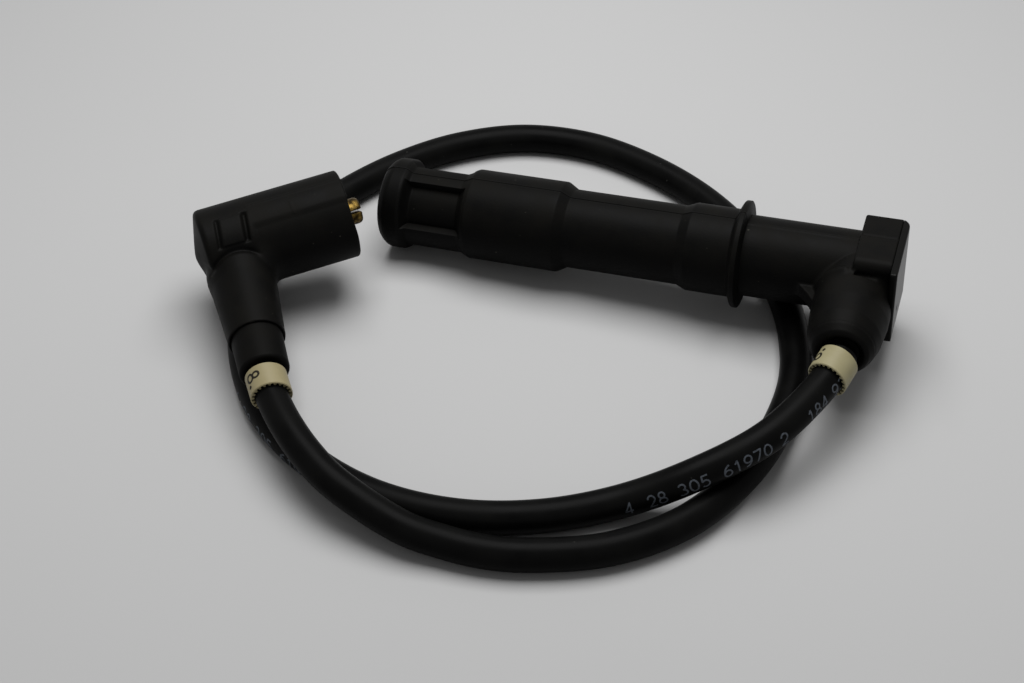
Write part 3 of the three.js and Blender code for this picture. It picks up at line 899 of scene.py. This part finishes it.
@dataclass
class MarkerRing:
    """A cream ring on the lead with small teeth inside that grip the jacket, and a plain printed figure."""

    lead: Lead
    name: str
    node: str
    start: float
    finish: Finish
    figure_angle_deg: float
    outer: float = 4.45
    valley: float = 4.2
    tip: float = 3.6
    length: float = 6.0
    teeth: int = 22
    cuts_per_tooth: int = 8
    bevel: float = 0.18
    tooth_bevel: float = 0.06
    crease_deg: float = 30.0
    figure_print: PrintLine = PrintLine(height=3.3, stroke=0.5)
    figures: tuple = ((1.35, "8"), (4.0, "."))

    def build(self) -> Piece:
        """Makes the ring and its figure; the figure is the ring's child.

        Returns:
            The ring.
        """
        sides = self.teeth * self.cuts_per_tooth
        turn = np.arange(sides) * 2 * math.pi / sides
        wave = (np.arange(sides) % self.cuts_per_tooth) / self.cuts_per_tooth
        heights = (self.valley, self.tip, self.tip, self.valley, self.valley)
        grip = np.interp(wave, (0, 0.2, 0.5, 0.7, 1.0), heights)
        eased_outer, eased_grip = self.outer - self.bevel, grip + self.tooth_bevel
        near, far, end = self.bevel, self.length - self.bevel, self.length
        shells = [(0.0, eased_outer), (near, self.outer), (far, self.outer), (end, eased_outer)]
        shells += [(end, eased_grip), (far, grip), (near, grip), (0.0, eased_grip)]
        centre, outward, up = self.lead.at(np.array((self.start, self.start + self.length)))
        way = (centre[1] - centre[0]) / np.linalg.norm(centre[1] - centre[0])
        side, top = outward[0], np.cross(outward[0], way)

        def place(along: np.ndarray, angle: np.ndarray, radius: np.ndarray) -> np.ndarray:
            """A point of the ring, in metres in the row frame."""
            reach = np.cos(angle)[..., None] * side + np.sin(angle)[..., None] * top
            axis = centre[0] + np.asarray(along)[..., None] * way
            return (axis + np.asarray(radius)[..., None] * reach) * MM

        rows = np.array([place(along, turn, radius) for along, radius in shells])
        faces = loft_faces(len(shells), sides, closed=True)
        ring = mesh_object(self.name, rows, faces, self.crease_deg)
        dress(ring, self.finish, Slot.CREAM, self.node)
        middle = math.radians(self.figure_angle_deg)

        def on_ring(along: np.ndarray, around: np.ndarray, lift: float) -> np.ndarray:
            """A place of the figure on the ring."""
            return place(along, middle + around / self.outer, self.outer + lift)

        lines = []
        for start, figure in self.figures:
            lines += self.figure_print.ribbons(figure, start, 0.0)
        points, faces = self.figure_print.mesh(lines, on_ring)
        figure = dress(mesh_object(f"{self.name}_figure", points, faces), FIGURE_INK, Slot.CREAM)
        figure.parent = ring
        figure.matrix_parent_inverse = ring.matrix_world.inverted()
        return ring


@dataclass
class PlugBoot:
    """The long boot: a moulded tube with two windows and a flange, and its head over the elbow."""

    profile: tuple = (
        (0.0, 8.9),
        (0.5, 9.6),
        (1.5, 10.3),
        (2.2, 10.5),
        (5.0, 10.5),
        (5.8, 10.1),
        (6.6, 9.4),
        (19.3, 9.4),
        (21.3, 10.4),
        (42.4, 10.4),
        (44.8, 9.0),
        (70.8, 9.0),
        (73.0, 9.95),
        (82.9, 9.95),
        (83.9, 12.1),
        (85.2, 12.1),
        (85.6, 9.15),
    )
    window_places: tuple[float, ...] = (5.6, 7.0, 18.6, 20.4)
    window_floor: float = 7.4
    window_angles_deg: tuple = ((1.5, 73.0), (107.0, 178.5))
    parting_deg: float = 88.5
    flash: float = 0.16
    mismatch: float = 0.09
    lip: float = 6.6
    bore: float = 5.6
    bore_end: float = 29.4
    core_bore: float = 6.4
    core_span: tuple[float, float] = (80.0, 104.3)
    chamber: float = 3.9
    chamber_span: tuple[float, float] = (100.0, 115.5)
    tube: float = 9.15
    tube_span: tuple[float, float] = (85.0, 113.0)
    block_low: tuple[float, float, float] = (110.4, -10.0, -8.8)
    block_high: tuple[float, float, float] = (118.6, 7.3, 10.7)
    block_edge: float = 2.2
    trench_low: tuple[float, float, float] = (110.9, -11.3, 7.1)
    trench_high: tuple[float, float, float] = (118.5, -9.5, 12.0)
    barrel_at: float = 111.8
    barrel_skin_at: float = 111.35
    barrel_nose: tuple = ((-2.5, 8.4), (17.0, 8.4), (22.3, 7.9), (25.6, 7.0), (27.2, 6.1), (27.8, 5.3))
    barrel_length: float = 27.8
    lead_bore: float = 3.7
    flare_depth: float = 1.4
    barrel_lip: float = 4.7
    root_lip_at: tuple[float, float] = (110.6, -9.7)
    root_lip_height: float = 0.7
    nose_line_at: float = -25.3
    nose_line_depth: float = 0.1
    parting_at: float = -0.25
    parting_groove: float = 0.2
    cover_edge: float = -12.8
    gusset_places: tuple[float, float] = (93.5, 104.5)
    gusset_reach: tuple[float, float] = (-18.2, -6.0)
    gusset_bend: tuple[float, float] = (2.5, 3.5)
    gusset_half_height: float = 1.6
    gusset_edge: float = 0.4
    # the head's grid: its low and high corner and its step
    grid: tuple = ((84.6, -29.0, -10.6), (121.4, 9.6, 11.8), 0.3)

    def skin(self, t: np.ndarray, angle: np.ndarray) -> np.ndarray:
        """Radius of the tube's outside.

        Args:
            t: distances from the mouth, in millimetres.
            angle: angles from the near side upward, in degrees.

        Returns:
            The radius at each pair.
        """
        places, radii = np.array(self.profile).T
        spread = np.linspace(-0.2, 0.2, 7)
        plain = np.mean([np.interp(t + d, places, radii) for d in spread], axis=0)
        ramp = np.mean([np.interp(t + d, self.window_places, (0, 1, 1, 0)) for d in spread], axis=0)
        across = np.zeros_like(angle)
        for low, high in self.window_angles_deg:
            across = across + smooth_step((angle - low) / 1.4) * smooth_step((high - angle) / 1.4)
        reach = np.maximum(plain, self.window_floor) - self.window_floor
        away = angle - self.parting_deg
        far_half = (0.5 + 0.5 * np.tanh(away / 0.6)) * (away < 90)
        line = self.flash * hump(away, 0.8) + self.mismatch * far_half
        return plain - reach * ramp * across + line * (1 - ramp * across)

    def tube_rows(self) -> np.ndarray:
        """Rings of the tube: its outside from mouth to flange, then back along the bore."""
        breaks = [p for p, _ in self.profile] + list(self.window_places)
        near = (-0.35, -0.2, -0.08, 0.08, 0.2, 0.35)
        t = np.r_[np.linspace(0, self.profile[-1][0], 130), [b + n for b in breaks for n in near]]
        t = np.unique(np.round(t, 2))
        t = t[(t >= 0) & (t <= self.profile[-1][0])]
        ramp = (0.0, 0.3, 0.7, 1.1, 1.4)
        fine = [low + d for low, _ in self.window_angles_deg for d in ramp]
        fine += [high - d for _, high in self.window_angles_deg for d in ramp]
        fine += [self.parting_deg + d for d in (-2.2, -1.5, -1.0, -0.6, -0.3, 0.0, 0.3, 0.6, 1.0, 1.5, 2.2)]
        angle = np.unique(np.round(np.r_[np.arange(-180.0, 180.0, 2.25), fine], 2))
        grid_t, grid_angle = np.meshgrid(t, angle, indexing="ij")
        radius = self.skin(grid_t, grid_angle)
        end = self.profile[-1][0]
        inner = [(end, self.core_bore), (self.bore_end, self.core_bore), (self.bore_end, self.bore)]
        inner += [(12.0, self.bore), (1.4, self.bore), (0.9, self.bore + 0.2)]
        inner += [(0.0, self.lip), (0.0, self.lip + 0.5)]
        grid_t = np.vstack((grid_t, [np.full(len(angle), x) for x, _ in inner]))
        radius = np.vstack((radius, [np.full(len(angle), r) for _, r in inner]))
        turn = np.radians(np.vstack([angle] * len(grid_t)))
        return np.stack((grid_t, -radius * np.cos(turn), radius * np.sin(turn)), axis=-1)

    def head(self, p: np.ndarray) -> np.ndarray:
        """Distance to the head: tube end, block, barrel and gusset, less the bores and the cover's seat.

        Args:
            p: points in the boot's frame, in millimetres.

        Returns:
            The distance at each point.
        """
        t, y, z = p[..., 0], p[..., 1], p[..., 2]
        tube = turned_field(t, np.hypot(y, z), [(place, self.tube) for place in self.tube_span], 0.2)
        body = joined(tube, self.block(p), 0.3)
        body = joined(body, self.barrel(p), 0.1 + 0.9 * smooth_step((-5.5 - y) / 2.5))
        body = joined(body, self.gusset(p), 0.5)
        line = np.where(t > self.block_low[0], -self.parting_groove, self.flash)
        body = body - line * hump(y - self.parting_at, 0.28) * (z > 0)
        seat = np.maximum(self.block_high[0] - t, self.cover_edge - y)
        body = cut(body, seat, 0.15)
        for hollow in self.hollows(p):
            body = cut(body, hollow, 0.4)
        return body

    def block(self, p: np.ndarray) -> np.ndarray:
        """Distance to the block, which runs on past the cover's seat and has a rounded near top edge."""
        y, z = p[..., 1], p[..., 2]
        block = rounded_box(p, self.block_low, (self.block_high[0] + 3, *self.block_high[1:]), 0.5)
        near, top = self.block_low[1] + self.block_edge, self.block_high[2] - self.block_edge
        past_edge = np.hypot(np.maximum(near - y, 0), np.maximum(z - top, 0))
        return np.maximum(block, past_edge - self.block_edge)

    def barrel(self, p: np.ndarray) -> np.ndarray:
        """Distance to the barrel, with the lip at its root, the line near its nose and the trench."""
        t, y, z = p[..., 0], p[..., 1], p[..., 2]
        barrel = turned_field(-y, np.hypot(t - self.barrel_skin_at, z), list(self.barrel_nose), 0.5)
        root_lip = smooth_step((self.root_lip_at[0] - t) / 2.0) * hump(y - self.root_lip_at[1], 1.1)
        barrel = barrel - self.root_lip_height * root_lip * (z > -4)
        barrel = barrel + self.nose_line_depth * hump(y - self.nose_line_at, 0.16)
        return cut(barrel, rounded_box(p, self.trench_low, self.trench_high, 0.3), 0.2)

    def gusset(self, p: np.ndarray) -> np.ndarray:
        """Distance to the thin wedge in the corner between tube and barrel."""
        t, y, z = p[..., 0], p[..., 1], p[..., 2]
        (t0, t1), (y0, y1) = self.gusset_places, self.gusset_reach
        share = np.linspace(0, 1, 16)
        curve_t = bent(t0, t1 - self.gusset_bend[0], t1, share)
        curve_y = bent(y1, y1 - self.gusset_bend[1], y0, share)
        rim = np.interp(t, curve_t, curve_y)
        flat = np.maximum.reduce((0.7 * (rim - y), t0 - t, t - t1 - 1.0, y + 4.0))
        edge = self.gusset_edge
        return np.maximum(flat + edge, np.abs(z) - self.gusset_half_height + edge) - edge

    def hollows(self, p: np.ndarray) -> list[np.ndarray]:
        """Distances to the resistor's bore, the elbow's chamber and the lead's flared bore."""
        t, y, z = p[..., 0], p[..., 1], p[..., 2]
        core = [(place, self.core_bore) for place in self.core_span]
        chamber = [(place, self.chamber) for place in self.chamber_span]
        length, lip = self.barrel_length, self.barrel_lip
        flare = [(0.0, self.lead_bore), (length - self.flare_depth, self.lead_bore)]
        flare += [(length, lip), (length + 2, lip + 1.5)]
        fields = [turned_field(t, np.hypot(y, z), profile, 0.1) for profile in (core, chamber)]
        return fields + [turned_field(-y, np.hypot(t - self.barrel_at, z), flare, 0.1)]

    def build(self) -> None:
        """Makes the tube and the head."""
        rows = PLUG_FRAME.place(self.tube_rows())
        tube = mesh_object("plug_boot_tube", rows, loft_faces(*rows.shape[:2], closed=True))
        dress(tube, BOOT_RUBBER, Slot.RUBBER, "plug_boot")
        points, faces = FieldBody(*self.grid, self.head).mesh()
        head = mesh_object("plug_boot_head", PLUG_FRAME.place(points), faces, 60.0)
        dress(head, BOOT_RUBBER, Slot.RUBBER, "plug_boot")


@dataclass
class HeadCover:
    """The plate that closes the head's end: flush with the block, far edge rounded, with a moulded dot."""

    seat: float = 118.65
    low: tuple[float, float, float] = (118.0, -12.5, -8.0)
    high: tuple[float, float, float] = (120.2, 7.3, 10.7)
    corner: float = 2.6
    dot: tuple[float, float, float] = (120.4, -6.5, -3.0)
    dot_radius: float = 0.7
    grid: tuple = ((118.1, -13.3, -9.6), (120.7, 8.1, 11.5), 0.28)

    def distance(self, p: np.ndarray) -> np.ndarray:
        """Distance to the plate, whose far edge is rounded in plan."""
        plate = rounded_box(p, self.low, self.high, 0.35)
        out = [np.maximum(p[..., k] - (self.high[k] - self.corner), 0) for k in range(2)]
        plate = np.maximum(plate, np.hypot(out[0], out[1]) - self.corner)
        plate = np.maximum(plate, self.seat - p[..., 0])
        dimple = np.linalg.norm(p - np.array(self.dot), axis=-1) - self.dot_radius
        return cut(plate, dimple, 0.2)

    def build(self) -> None:
        """Makes the plate."""
        points, faces = FieldBody(*self.grid, self.distance).mesh()
        piece = mesh_object("plug_head_plate", PLUG_FRAME.place(points), faces, 60.0)
        dress(piece, COVER_PLASTIC, Slot.COVER, "plug_head_cover")


@dataclass
class CoilBoot:
    """The short angled boot: a round body, strap grooves with a key between them, and a filleted outlet."""

    radius: float = 10.1
    length: float = 33.2
    bore: float = 8.0
    bore_depth: float = 15.0
    pocket: float = 3.9
    pocket_end: float = 30.6
    grooves: tuple = ((22.4, 23.5, 0.75), (28.8, 29.7, 0.5))
    groove_angles_deg: tuple[float, float] = (99.0, 139.0)
    groove_slant: float = 0.022  # millimetres for each degree
    end_rise: float = 2.6
    top_edge_deg: float = 122.0
    top_height: float = 0.26
    top_line: float = 12.4
    key_height: float = 0.25
    outlet_at: tuple[float, float, float] = (26.6, 0.0, -1.4)
    outlet_dir: tuple[float, float, float] = (0.0791, 0.9937, -0.0788)
    outlet_profile: tuple = ((0.0, 7.7), (9.0, 7.7), (12.5, 7.25), (28.2, 6.2))
    sleeve_seat: float = 21.4
    sleeve_bore: float = 5.66
    lead_bore: float = 3.7
    tip_round: float = 1.2
    end_edge: float = 1.2
    flash: float = 0.12
    crease: float = 0.4
    grid: tuple = ((-0.9, -11.0, -11.3), (36.6, 29.6, 11.4), 0.28)

    def outlet_frame(self) -> np.ndarray:
        """The outlet's axis and two directions across it, as the rows of a matrix."""
        way = np.array(self.outlet_dir) / np.linalg.norm(self.outlet_dir)
        side = np.cross(way, (0.0, 0.0, 1.0))
        side /= np.linalg.norm(side)
        return np.array((way, side, np.cross(way, side)))

    def along_outlet(self, p: np.ndarray) -> tuple[np.ndarray, np.ndarray]:
        """Distance along the outlet's axis and from it, for each point."""
        q = (p - np.array(self.outlet_at)) @ self.outlet_frame().T
        return q[..., 0], np.hypot(q[..., 1], q[..., 2])

    def distance(self, p: np.ndarray) -> np.ndarray:
        """Distance to the boot.

        Args:
            p: points in the boot's frame, in millimetres.

        Returns:
            The distance at each point.
        """
        x, y, z = p[..., 0], p[..., 1], p[..., 2]
        radial = np.hypot(y, z)
        angle = np.degrees(np.arctan2(z, -y))
        length, radius = self.length, self.radius
        body = turned_field(x, radial, [(0.0, radius), (length + 4.0, radius)], 0.6)
        rise = self.end_rise * (1 - np.hypot(radial, self.tip_round) / radius)
        body = cut(body, -(x - length - rise) * 0.98, self.end_edge)
        (first, last), (low, high) = (self.grooves[0][1], self.grooves[1][0]), self.groove_angles_deg
        arc_in = np.minimum(angle - low, high - angle) * math.pi / 180 * radius
        along = x - self.groove_slant * (angle - low)
        key = np.minimum(np.minimum(along - first, last - along), arc_in)
        body = body - self.key_height * smooth_step(key / 0.5)
        away, across = self.along_outlet(p)
        outlet = turned_field(away, across, list(self.outlet_profile), 0.35)
        for start, stop, depth in self.grooves:
            inside = np.minimum(np.minimum(along - start, stop - along), arc_in)
            body = body + depth * smooth_step(0.4 + inside / 0.8)
        body = body + self.recess(x, angle)
        crease = self.crease * hump(body - outlet, 0.5) * smooth_step((x - 21.0) / 3.0)
        body = joined(body, outlet, 0.6 + 2.6 * smooth_step((24.0 - x) / 4.0)) + crease
        body = body - self.flash * hump(np.where(z > 0, y, 9.0), 0.3) * (x < self.grooves[0][0] - 0.4)
        mouth = [(-2.0, self.bore + 1.0), (0.0, self.bore + 0.35)]
        mouth += [(0.8, self.bore), (self.bore_depth, self.bore)]
        pocket = [(10.0, self.pocket), (self.pocket_end, self.pocket)]
        lead = [(0.0, self.lead_bore), (32.0, self.lead_bore)]
        sleeve = [(self.sleeve_seat, self.sleeve_bore), (31.0, self.sleeve_bore)]
        hollows = [turned_field(x, radial, profile, 0.1) for profile in (mouth, pocket)]
        hollows += [turned_field(away, across, profile, 0.1) for profile in (lead, sleeve)]
        for hollow in hollows:
            body = cut(body, hollow, 0.4)
        return body

    def recess(self, x: np.ndarray, angle: np.ndarray) -> np.ndarray:
        """Depth of the wall below the raised top, from the deep groove to the mouth, and of its cross line.

        Args:
            x: distances from the mouth, in millimetres.
            angle: angles from the far side upward, in degrees.

        Returns:
            The depth at each pair.
        """
        edge = (angle - self.top_edge_deg) * math.pi / 180 * self.radius
        wall = smooth_step(0.5 + edge / 1.9) * smooth_step((178.0 - angle) / 30.0)
        line = -0.08 * hump(x - self.top_line, 0.22) * smooth_step((angle - 98.0) / 10.0)
        return (self.top_height * wall + line * (edge < 0)) * smooth_step((self.grooves[0][0] - x) / 1.2)

    def build(self) -> None:
        """Makes the boot."""
        points, faces = FieldBody(*self.grid, self.distance).mesh()
        piece = mesh_object("coil_boot_body", COIL_FRAME.place(points), faces, 60.0)
        dress(piece, BOOT_RUBBER, Slot.RUBBER, "coil_boot")


@dataclass
class NeckSleeve:
    """The soft sleeve between the coil boot's outlet and the lead."""

    boot: CoilBoot
    outline: tuple = (
        (21.8, 3.7),
        (21.8, 5.6),
        (28.7, 5.6),
        (37.3, 5.42),
        (37.8, 5.0),
        (37.8, 3.75),
        (37.2, 3.7),
    )

    def build(self) -> None:
        """Makes the sleeve as a closed turned ring along the outlet's axis."""
        rings = spun_rings(eased(list(self.outline), 0.35), 96)
        points = np.array(self.boot.outlet_at) + rings @ self.boot.outlet_frame()
        faces = loft_faces(*points.shape[:2], closed=True)
        piece = mesh_object("coil_neck", COIL_FRAME.place(points), faces)
        dress(piece, SLEEVE_RUBBER, Slot.RUBBER, "coil_neck_sleeve")


@dataclass
class CoilTerminal:
    """The turned brass contact, split across its end so that its halves spring together."""

    profile: tuple = (
        (-3.0, 2.4),
        (-2.6, 2.8),
        (-2.0, 3.0),
        (0.4, 3.0),
        (0.7, 2.75),
        (1.3, 2.75),
        (1.6, 3.0),
        (12.5, 3.0),
    )
    shank: float = 2.1
    shank_end: float = 22.4
    slot: float = 0.65
    slot_end: float = 7.5
    slot_turn_deg: float = 35.0
    grid: tuple = ((-3.4, -3.4, -3.4), (22.8, 3.4, 3.4), 0.17)

    def distance(self, p: np.ndarray) -> np.ndarray:
        """Distance to the contact, whose slot is turned about its axis as the contact was screwed in."""
        x, radial = p[..., 0], np.hypot(p[..., 1], p[..., 2])
        head = turned_field(x, radial, list(self.profile), 0.25)
        shank = turned_field(x, radial, [(10.0, self.shank), (self.shank_end, self.shank)], 0.2)
        turn = math.radians(self.slot_turn_deg)
        across = p[..., 2] * math.cos(turn) - p[..., 1] * math.sin(turn)
        gap = np.maximum(np.abs(across) - self.slot / 2, x - self.slot_end)
        return cut(joined(head, shank, 0.3), gap, 0.25)

    def build(self) -> None:
        """Makes the contact."""
        points, faces = FieldBody(*self.grid, self.distance).mesh()
        piece = mesh_object("coil_contact", COIL_FRAME.place(points), faces, 50.0)
        dress(piece, BRASS, Slot.BRASS, "coil_terminal")


@dataclass
class InnerParts:
    """The pieces inside the boots, which keep their CAD meshes and get their finishes."""

    def build(self) -> None:
        """Gives each CAD node that is still shown the finish of its slot."""
        slots = {part["node"]: part["material_slot"] for part in frame["record"]["subparts"]}
        for name, node in frame["nodes"].items():
            finish = NODE_FINISH[Slot(slots[name])].material()
            for place in node.material_slots:
                place.material = finish
            log.info("%s: %s", name, finish.name)


@dataclass
class Studio:
    """A pale paper floor, a broad soft light above and behind, and the photograph's view."""

    camera_at: tuple[float, float, float] = (0.088205, -0.28362, 0.27468)
    camera_to: tuple[float, float, float] = (-0.003354, 0.000869, -0.00013)
    lens_mm: float = 63.28
    floor_half: float = 3.0
    key_at: tuple[float, float, float] = (-0.02, 0.09, 0.46)
    key_size: float = 0.36
    key_watts: float = 2.35
    fill_level: float = 0.2
    backdrop: str = "#c0c0c0"

    def camera(self) -> None:
        """Sets the photograph's view."""
        data = bpy.data.cameras.new("photo_view")
        data.lens = self.lens_mm
        data.sensor_width = 36.0
        data.clip_start = 0.01
        data.clip_end = 20.0
        view = bpy.data.objects.new("photo_view", data)
        view.location = self.camera_at
        way = Vector(self.camera_to) - Vector(self.camera_at)
        view.rotation_euler = way.to_track_quat("-Z", "Y").to_euler()
        bpy.context.scene.collection.objects.link(view)
        bpy.context.scene.camera = view
        bpy.context.scene.view_settings.view_transform = "Standard"

    def floor(self) -> None:
        """Lays the paper."""
        h = self.floor_half
        corners = np.array(((-h, -h, 0.0), (h, -h, 0.0), (h, h, 0.0), (-h, h, 0.0)))
        paper = mesh_object("paper", corners, [[0, 1, 2, 3]])
        paper.data.materials.append(PAPER.material())

    def lights(self) -> None:
        """Hangs the soft light and sets the even light around."""
        data = bpy.data.lights.new("overhead_softbox", "AREA")
        data.shape = "SQUARE"
        data.size = self.key_size
        data.energy = self.key_watts
        lamp = bpy.data.objects.new("overhead_softbox", data)
        lamp.location = self.key_at
        lamp.rotation_euler = (-Vector(self.key_at)).to_track_quat("-Z", "Y").to_euler()
        bpy.context.scene.collection.objects.link(lamp)
        world = bpy.data.worlds.new("studio")
        world.use_nodes = True
        tree = world.node_tree
        tree.nodes.clear()
        ray = add_node(tree, "ShaderNodeLightPath")
        seen = ray.outputs["Is Camera Ray"]
        for other in ("Is Glossy Ray", "Is Transmission Ray"):
            links = {0: seen, 1: ray.outputs[other]}
            seen = add_node(tree, "ShaderNodeMath", {"operation": "MAXIMUM"}, links).outputs[0]
        links = {0: seen}
        for socket, colour, strength in ((1, "#ffffff", self.fill_level), (2, self.backdrop, 1.0)):
            settings = {"Color": linear(colour), "Strength": strength}
            links[socket] = add_node(tree, "ShaderNodeBackground", settings).outputs[0]
        mixed = add_node(tree, "ShaderNodeMixShader", links=links)
        add_node(tree, "ShaderNodeOutputWorld", links={"Surface": mixed.outputs[0]})
        bpy.context.scene.world = world


def main() -> None:
    """Builds the studio and the sub-assemblies in order."""
    logging.basicConfig(level=logging.INFO, format="%(name)s %(message)s")
    studio = Studio()
    studio.camera()
    lead = Lead()
    rings = [
        MarkerRing(lead, "ring_at_coil", "marker_ring_coil", 0.5, RING_PVC, 46.0),
        MarkerRing(lead, "ring_at_plug", "marker_ring_plug", lead.length() - 7.3, RING_PVC_AGED, 150.0),
    ]
    lead.build([ring.build() for ring in rings])
    PlugBoot().build()
    HeadCover().build()
    coil = CoilBoot()
    coil.build()
    NeckSleeve(coil).build()
    CoilTerminal().build()
    InnerParts().build()
    studio.floor()
    studio.lights()


if __name__ == "__main__":
    main()
